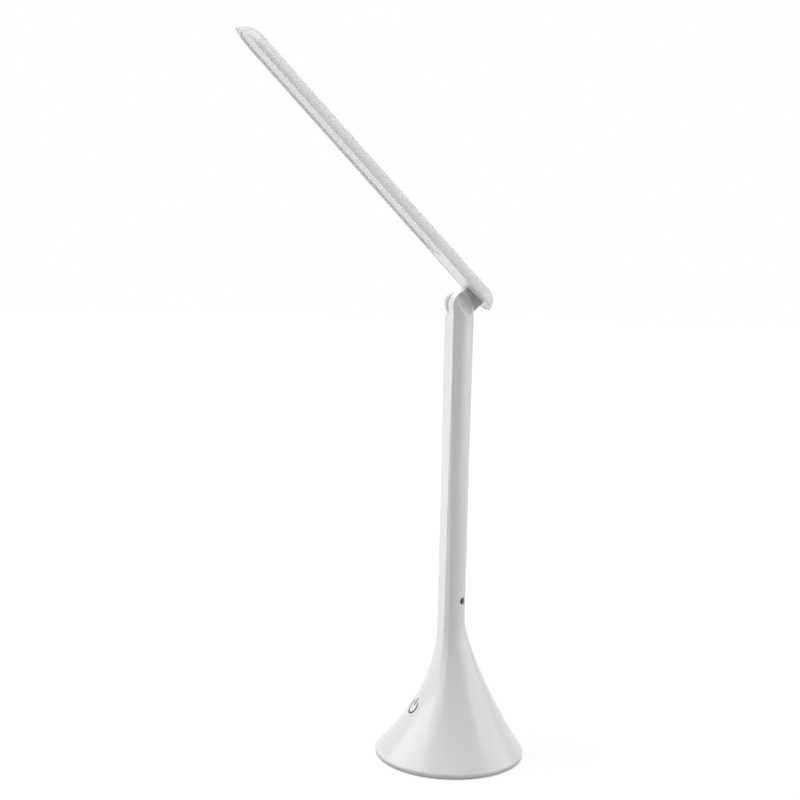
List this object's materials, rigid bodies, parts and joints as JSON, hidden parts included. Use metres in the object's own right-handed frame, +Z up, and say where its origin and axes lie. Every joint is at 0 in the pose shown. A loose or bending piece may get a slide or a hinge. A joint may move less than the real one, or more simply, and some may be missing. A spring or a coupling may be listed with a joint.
{
  "type": "folding desk lamp",
  "caption": "White folding LED desk lamp: trumpet-shaped weighted foot, D-section stem and a long flat lamp head on a friction hinge.",
  "frame": {"origin": "centre of the round foot, on the table plane", "axes": "+Z up, -Y to the front (the flat side of the stem, where the open head reaches), +X along the hinge pin"},
  "size_m": [0.11, 0.2198, 0.5257],
  "materials": {
    "white_plastic": "smooth, satin-gloss moulded white",
    "plate_plastic": "matt off-white",
    "rubber": "matt",
    "steel": "bright zinc",
    "ballast_steel": "bare",
    "cell_wrap": "shrink sleeve",
    "inner_plastic": "matt",
    "board": "solder mask",
    "brass": "plain",
    "socket_black": "matt",
    "wire": "sleeve",
    "diffuser": "opal, satin",
    "reflector": "matt white",
    "led": "phosphor window"
  },
  "bodies": {
    "base": {"base_shell": "white_plastic", "base_plate": "plate_plastic", "rubber_mat": "rubber", "base_screws": "steel", "ballast": "ballast_steel", "battery_cell": "cell_wrap", "battery_cradle": "inner_plastic", "inner_screws": "steel", "control_board": "board", "touch_electrode": "brass", "charge_socket": "socket_black", "stem_shell": "white_plastic", "stem_strip": "white_plastic", "stem_wire": "wire", "hinge_pin": "steel", "hinge_washers": "steel"},
    "head": {"hinge_lug": "white_plastic", "hinge_cap": "white_plastic", "lug_screws": "steel", "head_shell": "white_plastic", "head_bezel": "white_plastic", "diffuser": "diffuser", "reflector_tray": "reflector", "led_board": "reflector", "led_chips": "led", "head_wire": "wire"}
  },
  "joints": [
    {"name": "head_fold", "type": "hinge", "parent": "base", "child": "head", "pos_m": [0, 0.0008, 0.336], "axis": [1, 0, 0], "range_deg": [0, 136]}
  ]
}
